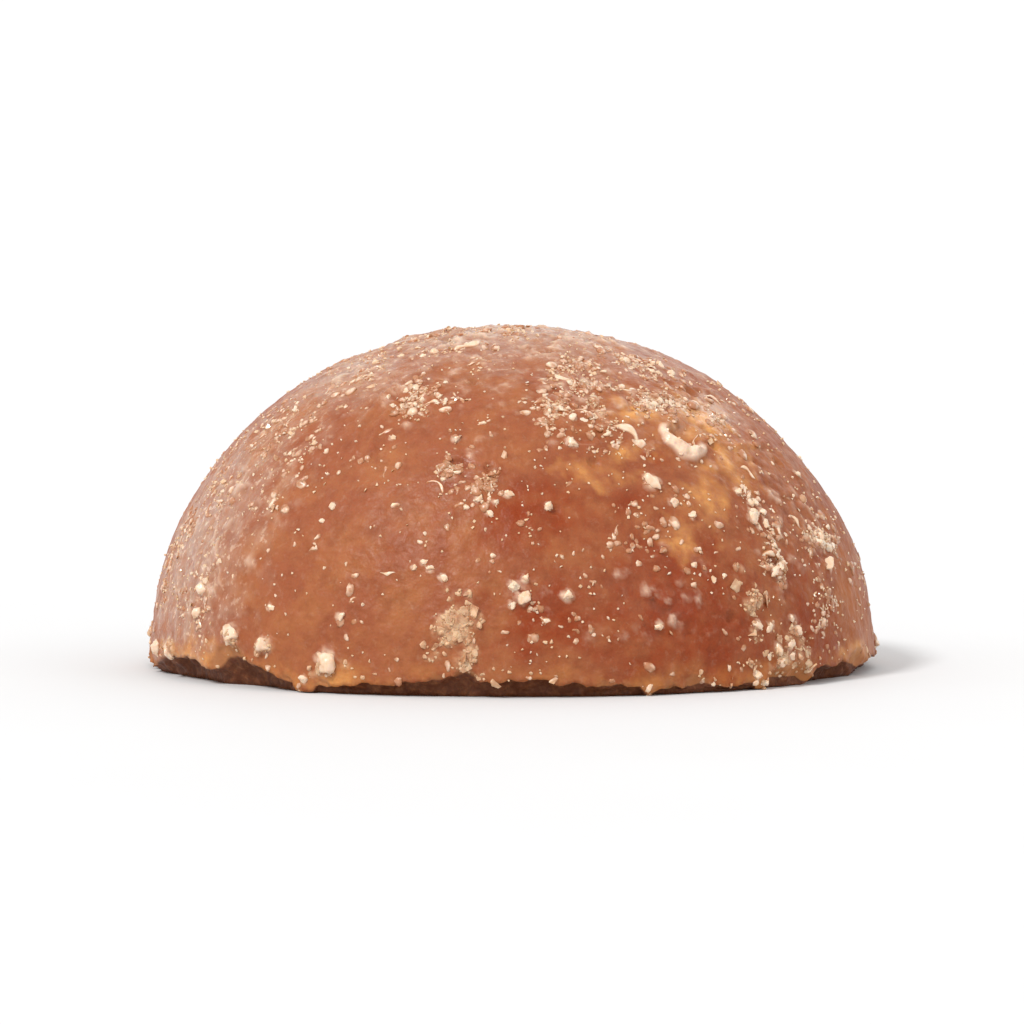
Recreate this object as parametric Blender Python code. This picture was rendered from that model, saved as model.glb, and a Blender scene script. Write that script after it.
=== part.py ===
"""A jaggery lump: one solid half-round cake of boiled-down sugar, set in half a coconut shell.

It rests on its poured face. Metres, +Z up, with the origin at the middle of the base. An azimuth is 0 at the
front, -Y, and 90 degrees at +X.
"""

import math

import bmesh
import bpy
from mathutils import Vector

MM = 0.001

WIDTH = 80 * MM  # the dome's widest, left to right
DEPTH = 78.6 * MM  # front to back: the shell wasn't quite round
HEIGHT = 37.4 * MM
FULLNESS = 2.06  # power of the side profile's superellipse, 2 being a plain ellipse

NET_SQUARES = 48  # squares along each side of the net that is drawn out over the dome
LIP_HEIGHT = 0.7 * MM  # of the dome's sharp lower edge, above the base
UNDERCUT = 1.1 * MM  # how far the flat base stands back from that edge
UNDERCUT_PER_LIFT = 0.9  # further undercut for each unit that a chip lifts the edge
UNDERSIDE_STEPS = 2  # rings between the edge and the flat base

# The plan's wander from an oval: (waves in a turn, share of the radius, azimuth of a crest in degrees).
PLAN_WAVES = [(2, 0.0050, 35), (3, 0.0045, 100), (5, 0.0022, 12)]

# Where the edge has broken away: (azimuth, how far to each side it reaches in degrees, lift).
EDGE_CHIPS = [
    (-64, 18, 1.8 * MM),
    (-47, 13, 2.3 * MM),
    (-4, 34, 1.1 * MM),
    (63, 12, 1.7 * MM),
    (82, 14, 1.1 * MM),
    (109, 11, 0.9 * MM),
    (141, 17, 2.2 * MM),
    (178, 24, 1.2 * MM),
    (-144, 12, 2.1 * MM),
    (-113, 18, 1.1 * MM),
]

# Shallow scoops out of the skin at the edge: (azimuth, height of the scoop's middle, radius, depth).
EDGE_SCOOPS = [
    (-50, 1.4 * MM, 5.0 * MM, 1.6 * MM),
    (70, 0.4 * MM, 4.4 * MM, 1.1 * MM),
    (143, 0.8 * MM, 6.0 * MM, 1.6 * MM),
    (-141, 0.4 * MM, 5.0 * MM, 1.5 * MM),
]

# Broad soft hollows and swells of the skin: (azimuth, degrees down from the crown, reach, height).
SWELLS = [
    (-70, 38, 13 * MM, 0.45 * MM),
    (20, 62, 12 * MM, -0.40 * MM),
    (95, 50, 14 * MM, -0.45 * MM),
    (150, 30, 12 * MM, 0.40 * MM),
    (-150, 60, 13 * MM, -0.50 * MM),
    (-115, 20, 10 * MM, -0.30 * MM),
    (40, 16, 9 * MM, 0.25 * MM),
]
SWELLS_FADE_BELOW = HEIGHT / 4  # they are gone at the base

SHARP_ANGLE = math.radians(40)  # between faces that are shaded as meeting at an edge

JAGGERY_COLOUR = (0.468, 0.171, 0.084, 1)
JAGGERY_ROUGHNESS = 0.5


def outward(azimuth):
    """Level unit vector from the middle towards an azimuth, in radians."""
    return Vector((math.sin(azimuth), -math.cos(azimuth), 0))


def degrees_apart(azimuth, degrees):
    """Signed angle from a direction given in degrees to an azimuth in radians."""
    return (math.degrees(azimuth) - degrees + 180) % 360 - 180


def smooth_bump(distance, reach):
    """1 at no distance, easing to 0 at the reach."""
    share = min(1, abs(distance) / reach)
    return (1 - share * share) ** 2


def plan_radius(azimuth):
    """Level distance from the middle to the dome's widest line."""
    oval = math.hypot(math.sin(azimuth) / (WIDTH / 2), math.cos(azimuth) / (DEPTH / 2))
    wander = sum(share * math.cos(waves * math.radians(degrees_apart(azimuth, crest)))
                 for waves, share, crest in PLAN_WAVES)
    return (1 + wander) / oval


def edge_lift(azimuth):
    """How far the chips raise the lower edge at an azimuth."""
    return max(lift * smooth_bump(degrees_apart(azimuth, middle), reach)
               for middle, reach, lift in EDGE_CHIPS)


def dome_point(azimuth, polar):
    """Point of the unbroken dome, polar radians down from the crown."""
    power = 2 / FULLNESS
    level = plan_radius(azimuth) * math.sin(polar) ** power
    return outward(azimuth) * level + Vector((0, 0, HEIGHT * math.cos(polar) ** power))


def polar_of_edge(azimuth):
    """How far down from the crown the dome runs before its lower edge."""
    edge_height = LIP_HEIGHT + edge_lift(azimuth)
    return math.acos((edge_height / HEIGHT) ** (FULLNESS / 2))


def with_swells(point):
    """A point of the dome moved by the broad hollows and swells."""
    out_from_middle = point.normalized()
    fade = min(1, point.z / SWELLS_FADE_BELOW)
    moved = point.copy()
    for azimuth, polar, reach, height in SWELLS:
        middle = dome_point(math.radians(azimuth), math.radians(polar))
        moved += out_from_middle * (height * fade * smooth_bump((point - middle).length, reach))
    return moved


def scooped(point):
    """A point pushed out of every scoop that it lies in, onto the scoop's wall."""
    for azimuth, height, radius, depth in EDGE_SCOOPS:
        direction = outward(math.radians(azimuth))
        skin = dome_point(math.radians(azimuth), math.pi / 2)
        middle = skin + direction * (radius - depth) + Vector((0, 0, height))
        away = point - middle
        if point.z <= 0:
            away.z = 0  # the flat base stays flat
        if away.length < radius:
            point = middle + away.normalized() * radius
            point.z = max(point.z, 0)
    return point


def net_to_disc(u, v):
    """(share of the way from the crown to the edge, azimuth) for a point of the square net, from -1 to 1."""
    if u == 0 and v == 0:
        return 0, 0
    if abs(u) > abs(v):
        return abs(u), math.pi / 4 * v / u + (math.pi if u < 0 else 0)
    return abs(v), math.pi / 2 - math.pi / 4 * u / v + (math.pi if v < 0 else 0)


def make_dome(mesh):
    """The domed skin: a square net drawn out to a disc and laid over the dome, down to the chipped edge."""
    bmesh.ops.create_grid(mesh, x_segments=NET_SQUARES, y_segments=NET_SQUARES, size=1)
    for vertex in mesh.verts:
        share, azimuth = net_to_disc(vertex.co.x, vertex.co.y)
        point = dome_point(azimuth, share * polar_of_edge(azimuth))
        vertex.co = scooped(with_swells(point))


def make_underside(mesh):
    """The broken band under the edge, drawn in ring by ring to the flat base, and the base itself."""
    border = [edge for edge in mesh.edges if edge.is_boundary]
    for steps_left in range(UNDERSIDE_STEPS, 0, -1):
        grown = bmesh.ops.extrude_edge_only(mesh, edges=border)["geom"]
        border = [item for item in grown if isinstance(item, bmesh.types.BMEdge) and item.is_boundary]
        for vertex in [item for item in grown if isinstance(item, bmesh.types.BMVert)]:
            above = vertex.co.copy()
            azimuth = math.atan2(above.x, -above.y)
            undercut = (UNDERCUT + UNDERCUT_PER_LIFT * edge_lift(azimuth)) / UNDERSIDE_STEPS
            vertex.co = above - outward(azimuth) * undercut
            vertex.co.z = above.z * (1 - 1 / steps_left)
    bmesh.ops.contextual_create(mesh, geom=border)


def centred(mesh):
    """Moves the mesh so that the origin is at the middle of its base."""
    for axis in (0, 1):
        places = [vertex.co[axis] for vertex in mesh.verts]
        middle = (min(places) + max(places)) / 2
        for vertex in mesh.verts:
            vertex.co[axis] -= middle


def jaggery_material():
    material = bpy.data.materials.new("jaggery")
    material.use_nodes = True
    shader = material.node_tree.nodes["Principled BSDF"]
    shader.inputs["Base Color"].default_value = JAGGERY_COLOUR
    shader.inputs["Roughness"].default_value = JAGGERY_ROUGHNESS
    shader.inputs["Metallic"].default_value = 0
    material.diffuse_color = JAGGERY_COLOUR
    return material


def make_lump():
    mesh = bmesh.new()
    make_dome(mesh)
    make_underside(mesh)
    centred(mesh)
    bmesh.ops.recalc_face_normals(mesh, faces=mesh.faces)
    data = bpy.data.meshes.new("jaggery_lump")
    mesh.to_mesh(data)
    mesh.free()
    data.shade_smooth()
    data.set_sharp_from_angle(angle=SHARP_ANGLE)
    data.materials.append(jaggery_material())
    lump = bpy.data.objects.new("jaggery_lump", data)
    bpy.context.scene.collection.objects.link(lump)


def clear_scene():
    for item in list(bpy.data.objects):
        bpy.data.objects.remove(item)


clear_scene()
make_lump()
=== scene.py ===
"""Looks of the jaggery lump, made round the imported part: its chipped and pitted skin, and the sugar on it.

Metres, +Z up. An azimuth is 0 at the front, -Y, and 90 degrees at +X. A polar angle runs down from the crown, so a
place on the dome is (azimuth, polar) in degrees.
"""

import math

import bmesh
import bpy
import numpy as np
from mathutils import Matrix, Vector, noise
from mathutils.kdtree import KDTree


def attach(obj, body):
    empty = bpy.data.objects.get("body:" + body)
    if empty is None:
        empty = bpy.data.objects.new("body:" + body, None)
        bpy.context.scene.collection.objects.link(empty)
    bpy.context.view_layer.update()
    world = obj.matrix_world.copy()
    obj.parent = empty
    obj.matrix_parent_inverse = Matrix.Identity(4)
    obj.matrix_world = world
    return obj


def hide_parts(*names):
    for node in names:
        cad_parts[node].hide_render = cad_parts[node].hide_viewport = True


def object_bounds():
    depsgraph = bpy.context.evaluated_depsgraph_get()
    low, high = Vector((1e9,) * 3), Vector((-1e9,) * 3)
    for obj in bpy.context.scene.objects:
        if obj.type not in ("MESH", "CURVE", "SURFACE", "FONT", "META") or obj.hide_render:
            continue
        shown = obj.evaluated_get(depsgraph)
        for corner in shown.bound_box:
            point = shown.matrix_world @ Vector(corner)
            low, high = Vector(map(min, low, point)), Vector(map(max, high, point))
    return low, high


MM = 0.001

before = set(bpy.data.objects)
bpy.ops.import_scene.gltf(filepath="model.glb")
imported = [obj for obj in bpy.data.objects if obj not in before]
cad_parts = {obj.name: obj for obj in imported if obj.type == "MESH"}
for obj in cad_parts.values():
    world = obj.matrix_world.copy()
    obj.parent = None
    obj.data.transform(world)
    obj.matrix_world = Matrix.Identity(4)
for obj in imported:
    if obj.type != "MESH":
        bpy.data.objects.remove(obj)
CAD_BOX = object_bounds()

# The part's shape, which the skin follows.
WIDTH = 80 * MM
DEPTH = 78.6 * MM
HEIGHT = CAD_BOX[1].z
FULLNESS = 2.06
LIP_HEIGHT = 0.7 * MM
UNDERCUT = 1.1 * MM
UNDERCUT_PER_LIFT = 0.9
PLAN_WAVES = [(2, 0.0050, 35), (3, 0.0045, 100), (5, 0.0022, 12)]
EDGE_CHIPS = [
    (-64, 18, 1.8 * MM),
    (-47, 13, 2.3 * MM),
    (-4, 34, 1.1 * MM),
    (63, 12, 1.7 * MM),
    (82, 14, 1.1 * MM),
    (109, 11, 0.9 * MM),
    (141, 17, 2.2 * MM),
    (178, 24, 1.2 * MM),
    (-144, 12, 2.1 * MM),
    (-113, 18, 1.1 * MM),
]
EDGE_SCOOPS = [
    (-50, 1.4 * MM, 5.0 * MM, 1.6 * MM),
    (70, 0.4 * MM, 4.4 * MM, 1.1 * MM),
    (143, 0.8 * MM, 6.0 * MM, 1.6 * MM),
    (-141, 0.4 * MM, 5.0 * MM, 1.5 * MM),
]
SWELLS = [
    (-70, 38, 13 * MM, 0.45 * MM),
    (20, 62, 12 * MM, -0.40 * MM),
    (95, 50, 14 * MM, -0.45 * MM),
    (150, 30, 12 * MM, 0.40 * MM),
    (-150, 60, 13 * MM, -0.50 * MM),
    (-115, 20, 10 * MM, -0.30 * MM),
    (40, 16, 9 * MM, 0.25 * MM),
]
SWELLS_FADE_BELOW = HEIGHT / 4

# The skin's net: squares over the crown, then rings down to the edge, under it, and squares again over the base.
CAP_RINGS = 88
SIDE_RINGS = 70
BAND_RINGS = 8
BASE_INSET = 0.975  # the base's net starts this far out, one ring inside the band's last

# Small chips along the edge, besides the part's scoops: (azimuth, height, radius, depth), and how many at random.
NAMED_CHIPS = [
    (-7, 1.5 * MM, 1.7 * MM, 1.2 * MM),
    (-43, -0.2 * MM, 2.8 * MM, 1.0 * MM),
    (57, -0.6 * MM, 2.0 * MM, 0.8 * MM),
]
SMALL_CHIPS = 120
JAGGED = [(7 * MM, 0.40 * MM), (2.6 * MM, 0.55 * MM), (1.1 * MM, 0.40 * MM)]  # (size, height) of the edge's teeth
LEAST_LIP = 0.10 * MM

# Spurs of sugar that hang from the edge: (azimuth, degrees to each side, drop).
SPURS = [
    (-34, 2.6, 1.3 * MM),
    (-70, 3.0, 0.8 * MM),
    (22, 2.0, 0.6 * MM),
    (43, 1.8, 0.7 * MM),
    (54, 2.2, 0.9 * MM),
    (104, 3.0, 0.8 * MM),
    (-152, 3.0, 1.0 * MM),
]

# Relief of the skin: (size, height, octaves).
SKIN_WAVES = [
    (11 * MM, 0.20 * MM, 1),
    (4.4 * MM, 0.12 * MM, 2),
    (1.9 * MM, 0.09 * MM, 2),
    (1.0 * MM, 0.05 * MM, 1),
]

# Gas pits: (azimuth, polar, radius, depth).
NAMED_PITS = [
    (-11, 50, 0.80 * MM, 0.45 * MM),
    (-41, 14, 0.90 * MM, 0.50 * MM),
    (49, 70, 1.00 * MM, 0.50 * MM),
    (57, 35, 0.90 * MM, 0.50 * MM),
    (20, 44, 0.70 * MM, 0.40 * MM),
    (17, 50, 0.70 * MM, 0.40 * MM),
    (-4, 51, 0.65 * MM, 0.40 * MM),
    (8, 59, 0.65 * MM, 0.40 * MM),
    (-110, 55, 1.30 * MM, 0.70 * MM),
    (165, 48, 1.20 * MM, 0.60 * MM),
    (120, 65, 1.00 * MM, 0.55 * MM),
]
RANDOM_PITS = 60

# Burst blisters: (azimuth, polar, half width, half height, tilt, height of the lip, depth of the hollow).
BLISTERS = [
    (41, 45, 2.3 * MM, 2.7 * MM, 35, 1.05 * MM, 0.90 * MM),
    (16, 45, 1.7 * MM, 1.0 * MM, 0, 0.15 * MM, 0.45 * MM),
    (-125, 35, 1.8 * MM, 1.2 * MM, 60, 0.35 * MM, 0.40 * MM),
    (140, 62, 1.6 * MM, 1.1 * MM, -40, 0.35 * MM, 0.40 * MM),
]

# Flow wrinkles near the crown, each an arc round a middle: (azimuth, polar, arc radius, start, sweep, height).
WRINKLES = [
    (-10, 42, 10.0 * MM, 150, 70, 0.30 * MM),
    (-10, 42, 12.0 * MM, 165, 60, 0.24 * MM),
    (-60, 22, 9.0 * MM, 200, 110, 0.26 * MM),
    (60, 30, 12.0 * MM, 60, 70, 0.24 * MM),
    (75, 24, 8.0 * MM, 80, 90, 0.22 * MM),
    (160, 22, 11.0 * MM, 20, 80, 0.24 * MM),
]

# Where the skin is knobbly with sugar: (azimuth, polar, half width, half height, tilt).
KNOBBLY = [
    (0, 8, 20 * MM, 15 * MM, 0),
    (-28, 32, 7 * MM, 7 * MM, 0),
    (15, 34, 9 * MM, 7 * MM, 0),
    (42, 38, 11 * MM, 9 * MM, 20),
    (-8, 51, 4 * MM, 5 * MM, 0),
    (60, 60, 7 * MM, 9 * MM, 0),
    (52, 72, 5 * MM, 5 * MM, 0),
    (2, 73, 4 * MM, 2.4 * MM, 0),
    (24, 74, 7 * MM, 6 * MM, 0),
    (-62, 76, 3 * MM, 4 * MM, 0),
    (120, 48, 12 * MM, 9 * MM, 0),
    (178, 66, 12 * MM, 8 * MM, 0),
    (-118, 62, 9 * MM, 10 * MM, 0),
]

# Crumbly pale crusts: (azimuth, polar, half width, half height, tilt).
CRUSTS = [
    (-9, 78, 2.0 * MM, 3.0 * MM, 15),
    (-7, 84, 2.6 * MM, 1.9 * MM, 0),
    (42, 78, 1.8 * MM, 3.4 * MM, -15),
    (48, 85, 4.4 * MM, 2.4 * MM, -4),
    (-50, 83, 1.3 * MM, 1.2 * MM, 0),
    (-42, 83, 1.8 * MM, 0.8 * MM, 10),
    (-30, 86, 2.2 * MM, 1.4 * MM, 0),
    (-70, 86, 1.4 * MM, 1.0 * MM, 0),
    (105, 83, 3.4 * MM, 2.2 * MM, 15),
    (132, 78, 2.6 * MM, 3.6 * MM, 0),
    (170, 84, 4.2 * MM, 1.7 * MM, 0),
    (-160, 74, 2.2 * MM, 3.6 * MM, -30),
    (-128, 83, 3.4 * MM, 2.0 * MM, 10),
    (-96, 85, 2.2 * MM, 1.4 * MM, 0),
]

# Clear amber sugar showing through the skin: (azimuth, polar, half width, half height, tilt).
AMBERS = [
    (15, 52, 4.6 * MM, 2.2 * MM, 8),
    (33, 38, 4.4 * MM, 3.6 * MM, 50),
    (50, 42, 7.0 * MM, 5.0 * MM, 0),
    (27, 48, 3.2 * MM, 2.4 * MM, 0),
    (39, 58, 5.0 * MM, 3.4 * MM, -52),
    (30, 65, 3.0 * MM, 2.6 * MM, -50),
    (49, 51, 4.6 * MM, 4.2 * MM, 20),
    (-60, 86, 9.0 * MM, 2.4 * MM, 0),
    (-29, 88, 3.6 * MM, 1.6 * MM, 0),
    (71, 86, 4.0 * MM, 2.2 * MM, 0),
    (150, 52, 6.0 * MM, 3.2 * MM, 30),
    (-140, 48, 4.6 * MM, 3.0 * MM, -30),
    (120, 86, 6.0 * MM, 1.8 * MM, 0),
]

# Yellower skin; deeper-coloured skin, which is also painted shade, mostly on the lower front and right; and skin that
# sugar has glazed and bloomed, whose paler bloom is also a painted sheen: (azimuth, polar, half width, half height,
# tilt).
OCHRES = [
    (74, 76, 10 * MM, 14 * MM, 0),
    (100, 62, 12 * MM, 7 * MM, 20),
    (40, 88, 9 * MM, 2 * MM, 0),
    (-120, 70, 12 * MM, 9 * MM, 0),
]
DEEPS_AND_SHADE = [
    (30, 78, 17 * MM, 13 * MM, 0),
    (54, 80, 9 * MM, 10 * MM, 0),
    (6, 77, 9 * MM, 6 * MM, 0),
    (2, 60, 12 * MM, 6 * MM, 0),
    (30, 70, 9 * MM, 9 * MM, 0),
    (31, 49, 2.2 * MM, 1.5 * MM, 40),
    (22, 58, 4.0 * MM, 2.4 * MM, 0),
    (-170, 70, 16 * MM, 10 * MM, 0),
]
# Painted sheen: the pale bloom in these patches, mostly on the crown and the left side, also stands for the light and
# milky sheen there.
FROSTS_AND_SHEEN = [
    (-4, 4, 25 * MM, 20 * MM, 0),
    (-66, 66, 15 * MM, 22 * MM, 0),
    (-60, 30, 12 * MM, 10 * MM, 0),
    (54, 40, 8 * MM, 4 * MM, 0),
    (130, 45, 16 * MM, 14 * MM, 0),
    (-150, 62, 14 * MM, 14 * MM, 0),
]

# Where beads, curls and crystals lie thickest: (azimuth, polar, reach, weight).
GRAIN_CLUSTERS = [
    (0, 8, 20 * MM, 0.7),
    (-24, 35, 5 * MM, 4.0),
    (-46, 24, 7 * MM, 1.6),
    (-64, 50, 14 * MM, 0.8),
    (-76, 70, 10 * MM, 0.8),
    (-11, 50, 3 * MM, 2.5),
    (-4, 55, 3 * MM, 3.0),
    (20, 36, 9 * MM, 1.4),
    (44, 32, 11 * MM, 1.6),
    (49, 61, 4 * MM, 4.0),
    (66, 68, 5 * MM, 4.5),
    (49, 70, 3 * MM, 3.5),
    (62, 76, 12 * MM, 0.9),
    (2, 73, 5 * MM, 1.0),
    (24, 56, 12 * MM, 0.35),
    (-60, 76, 4 * MM, 1.6),
    (-50, 62, 4 * MM, 1.0),
    (120, 45, 12 * MM, 1.6),
    (-120, 60, 10 * MM, 1.6),
    (175, 70, 11 * MM, 2.0),
]

# Pale curled ridges: (azimuth, polar, radius, sweep, turn, width, height). One bulges right at a turn of 0, and up
# at 90.
PALE_CURLS = [
    (27, 43, 3.4 * MM, 62, 38, 1.30 * MM, 0.18 * MM),
    (17, 40, 2.3 * MM, 80, 90, 0.90 * MM, 0.08 * MM),
    (18, 29, 7.0 * MM, 45, 38, 0.70 * MM, 0.16 * MM),
    (-24, 17, 5.0 * MM, 45, 127, 1.40 * MM, 0.30 * MM),
    (46, 19, 4.0 * MM, 35, 60, 0.60 * MM, 0.22 * MM),
    (53, 53, 3.0 * MM, 40, 45, 0.65 * MM, 0.25 * MM),
    (60, 63, 2.6 * MM, 50, 40, 0.60 * MM, 0.24 * MM),
    (64, 37, 5.0 * MM, 35, 35, 0.55 * MM, 0.20 * MM),
    (49, 68, 1.2 * MM, 170, 70, 0.65 * MM, 0.30 * MM),
    (-11, 52, 0.7 * MM, 140, -90, 0.50 * MM, 0.24 * MM),
    (-21, 36, 2.4 * MM, 45, 100, 0.50 * MM, 0.20 * MM),
    (-21, 70, 2.0 * MM, 50, 90, 0.45 * MM, 0.16 * MM),
    (150, 40, 2.0 * MM, 150, 30, 0.90 * MM, 0.36 * MM),
    (-130, 58, 1.7 * MM, 170, -40, 0.80 * MM, 0.34 * MM),
]

# Single pale lumps of sugar that show well, the largest on the rim: (azimuth, polar, size).
PALE_LUMPS = [
    (28, 54, 2.0 * MM), (13, 46, 1.3 * MM), (31, 58, 1.1 * MM), (7, 58, 0.9 * MM), (-12, 45, 1.0 * MM),
    (9, 74, 1.3 * MM), (34, 61, 0.9 * MM), (-60, 75, 1.4 * MM), (-60, 79, 1.1 * MM), (-28, 78, 0.9 * MM),
    (-42, 77, 0.8 * MM), (24, 79, 1.0 * MM), (70, 55, 1.0 * MM), (-27, 45, 0.7 * MM), (-34, 59, 0.7 * MM),
    (-50, 82, 2.2 * MM), (-42, 83, 2.0 * MM), (-69, 86, 1.9 * MM), (-30, 85, 2.4 * MM), (-77, 86, 1.4 * MM),
    (110, 60, 1.4 * MM), (143, 70, 1.5 * MM), (-170, 55, 1.3 * MM), (-105, 72, 1.5 * MM), (-145, 68, 1.2 * MM),
    (112, 85, 2.0 * MM), (-122, 86, 1.8 * MM), (-165, 84, 2.0 * MM), (88, 86, 1.2 * MM), (155, 86, 1.6 * MM),
    (-34, 88, 1.0 * MM), (22, 89, 0.8 * MM), (43, 89, 0.7 * MM), (54, 88, 0.9 * MM), (33, 89, 0.6 * MM),
]

# Clusters of smaller ones: (azimuth, polar, reach, how many, size).
LUMP_CLUSTERS = [
    (-24, 35, 3.6 * MM, 12, 0.85 * MM),
    (-46, 22, 3.0 * MM, 5, 0.85 * MM),
    (-4, 56, 1.9 * MM, 6, 0.85 * MM),
    (48, 60, 2.0 * MM, 8, 1.10 * MM),
    (66, 68, 2.2 * MM, 8, 1.25 * MM),
    (49, 70, 1.6 * MM, 5, 1.05 * MM),
    (55, 28, 5.0 * MM, 12, 0.75 * MM),
    (10, 38, 5.0 * MM, 9, 0.70 * MM),
    (1, 73, 1.9 * MM, 5, 1.05 * MM),
    (-14, 69, 2.4 * MM, 4, 0.65 * MM),
    (46, 84, 4.4 * MM, 13, 0.95 * MM),
    (-60, 72, 3.0 * MM, 5, 0.70 * MM),
    (130, 50, 6.0 * MM, 14, 0.90 * MM),
    (-118, 60, 6.0 * MM, 14, 0.90 * MM),
    (175, 68, 6.0 * MM, 12, 1.00 * MM),
]

HALO_REACH = 0.90  # of the sugar banked up round each of those lumps, for each unit of its size
HALO_HEIGHT = 0.20

SEED = 7


# ---------------------------------------------------------------- the part's shape

def outward(azimuth):
    """Level unit vectors from the middle towards azimuths in radians."""
    return np.stack([np.sin(azimuth), -np.cos(azimuth), np.zeros_like(azimuth)], axis=-1)


def degrees_apart(azimuth, degrees):
    return (np.degrees(azimuth) - degrees + 180) % 360 - 180


def smooth_bump(distance, reach):
    """1 at no distance, easing to 0 at the reach."""
    share = np.minimum(1, np.abs(distance) / reach)
    return (1 - share * share) ** 2


def plan_radius(azimuth):
    oval = np.hypot(np.sin(azimuth) / (WIDTH / 2), np.cos(azimuth) / (DEPTH / 2))
    wander = sum(share * np.cos(waves * np.radians(degrees_apart(azimuth, crest)))
                 for waves, share, crest in PLAN_WAVES)
    return (1 + wander) / oval


def edge_lift(azimuth):
    return np.max([lift * smooth_bump(degrees_apart(azimuth, middle), reach)
                   for middle, reach, lift in EDGE_CHIPS], axis=0)


def dome_point(azimuth, polar):
    power = 2 / FULLNESS
    points = outward(azimuth) * (plan_radius(azimuth) * np.sin(polar) ** power)[..., None]
    points[..., 2] = HEIGHT * np.cos(polar) ** power
    return points


def with_swells(points):
    out_from_middle = points / np.linalg.norm(points, axis=1, keepdims=True)
    fade = np.minimum(1, points[:, 2] / SWELLS_FADE_BELOW)
    height = np.zeros(len(points))
    for azimuth, polar, reach, swell in SWELLS:
        middle = place(azimuth, polar)
        height += swell * fade * smooth_bump(np.linalg.norm(points - middle, axis=1), reach)
    return points + out_from_middle * height[:, None]


def place(azimuth, polar):
    """The point of the dome at an azimuth and a polar angle in degrees."""
    return dome_point(np.radians(azimuth), np.radians(polar))


# ---------------------------------------------------------------- tools for relief

def fuzz(points, size, seed, octaves=1):
    """Soft noise at each point, mostly within -1 and 1, with bumps of that size."""
    scaled = points / size + 31.7 * seed
    return np.array([noise.fractal(point, 1, 2, octaves) for point in scaled.tolist()])


def local_axes(azimuth, polar, tilt):
    """(middle, across, down, out) at a place, with across and down turned by a tilt in degrees."""
    middle = place(azimuth, polar)
    out = middle / np.array([WIDTH ** 2, DEPTH ** 2, 4 * HEIGHT ** 2])
    out /= np.linalg.norm(out)
    across = np.array([math.cos(math.radians(azimuth)), math.sin(math.radians(azimuth)), 0])
    down = np.cross(across, out)
    turn = math.radians(tilt)
    turned_across = across * math.cos(turn) + down * math.sin(turn)
    return middle, turned_across, np.cross(turned_across, out), out


def oval_distance(points, spot):
    """How far out each point is in an oval spot (azimuth, polar, half width, half height, tilt), 1 being its rim."""
    azimuth, polar, half_width, half_height, tilt = spot
    middle, across, down, out = local_axes(azimuth, polar, tilt)
    away = points - middle
    return np.sqrt((away @ across / half_width) ** 2 + (away @ down / half_height) ** 2
                   + (away @ out / max(half_width, half_height)) ** 2)


def patches(points, spots, ragged, softness, seed):
    """How far inside ragged spots each point is, 0 to 1."""
    wander = ragged * fuzz(points, 2.0 * MM, seed, 3)
    nearest = np.min([oval_distance(points, spot) for spot in spots], axis=0)
    return np.clip((1 + wander - nearest) / softness, 0, 1)


# ---------------------------------------------------------------- the skin's net

def square_net(rings):
    """A square net drawn out to a disc: shares of the way out, azimuths, the rim's points in order, and faces."""
    side = 2 * rings + 1
    line = np.linspace(-1, 1, side)
    u, v = (grid.ravel() for grid in np.meshgrid(line, line))
    share = np.maximum(np.abs(u), np.abs(v))
    with np.errstate(divide="ignore", invalid="ignore"):
        sideways = math.pi / 4 * v / u + math.pi * (u < 0)
        lengthways = math.pi / 2 - math.pi / 4 * u / v + math.pi * (v < 0)
    azimuth = np.where(np.abs(u) > np.abs(v), sideways, lengthways)
    azimuth[share == 0] = 0
    index = np.arange(side * side).reshape(side, side)
    rim = np.concatenate([index[:-1, -1], index[-1, :0:-1], index[:0:-1, 0], index[0, :-1]])
    faces = np.stack([index[:-1, :-1], index[:-1, 1:], index[1:, 1:], index[1:, :-1]], axis=-1)
    return share, azimuth, rim, faces.reshape(-1, 4)


def net_faces(cap_rim, cap_faces, base_rim, base_faces, cap_points, ring_points):
    """Faces of the whole net, whose points are the cap's, the rings' from top to bottom, and the base's."""
    around = len(cap_rim)
    rings = cap_points + np.arange(ring_points).reshape(-1, around)
    loops = np.vstack([cap_rim, rings])
    after = np.roll(loops, -1, axis=1)
    sides = np.stack([loops[:-1], loops[1:], after[1:], after[:-1]], axis=-1).reshape(-1, 4)
    base_start = cap_points + ring_points
    last, rim = loops[-1], base_rim + base_start
    strip = np.stack([last[::2], rim, np.roll(rim, -1), np.roll(last, -2)[::2], last[1::2]], axis=-1)
    base = base_faces[:, ::-1] + base_start
    return cap_faces.tolist() + sides.tolist() + strip.tolist() + base.tolist()


def edge_height(azimuth):
    """Height of the dome's broken lower edge."""
    ring = outward(azimuth) * WIDTH / 2
    jagged = 0.6 + 0.4 * smooth_bump(edge_lift(azimuth) - 2 * MM, 2 * MM)
    teeth = sum(height * fuzz(ring, size, 40 + step, 2) for step, (size, height) in enumerate(JAGGED))
    spurs = sum(drop * smooth_bump(degrees_apart(azimuth, middle), reach) for middle, reach, drop in SPURS)
    return np.maximum(LEAST_LIP, LIP_HEIGHT + edge_lift(azimuth) + jagged * teeth - spurs)


def polar_of(height):
    return np.arccos((height / HEIGHT) ** (FULLNESS / 2))


def dome_points(share, azimuth, around):
    """The unbroken skin. Its net is regular until near the edge, where it follows the edge's teeth."""
    even = polar_of(LIP_HEIGHT + edge_lift(azimuth))
    toothed = polar_of(by_azimuth(edge_height(around), around, azimuth))
    near_edge = np.clip((share - 0.93) / 0.07, 0, 1) ** 1.5
    return with_swells(dome_point(azimuth, share * even + near_edge * (toothed - even)))


def base_edge(edge_points, azimuth):
    """Where the flat base ends, under each point of the dome's edge."""
    inward = UNDERCUT + UNDERCUT_PER_LIFT * edge_lift(azimuth)
    return (edge_points - outward(azimuth) * inward[:, None]) * [1, 1, 0]


# ---------------------------------------------------------------- the skin's relief

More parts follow.
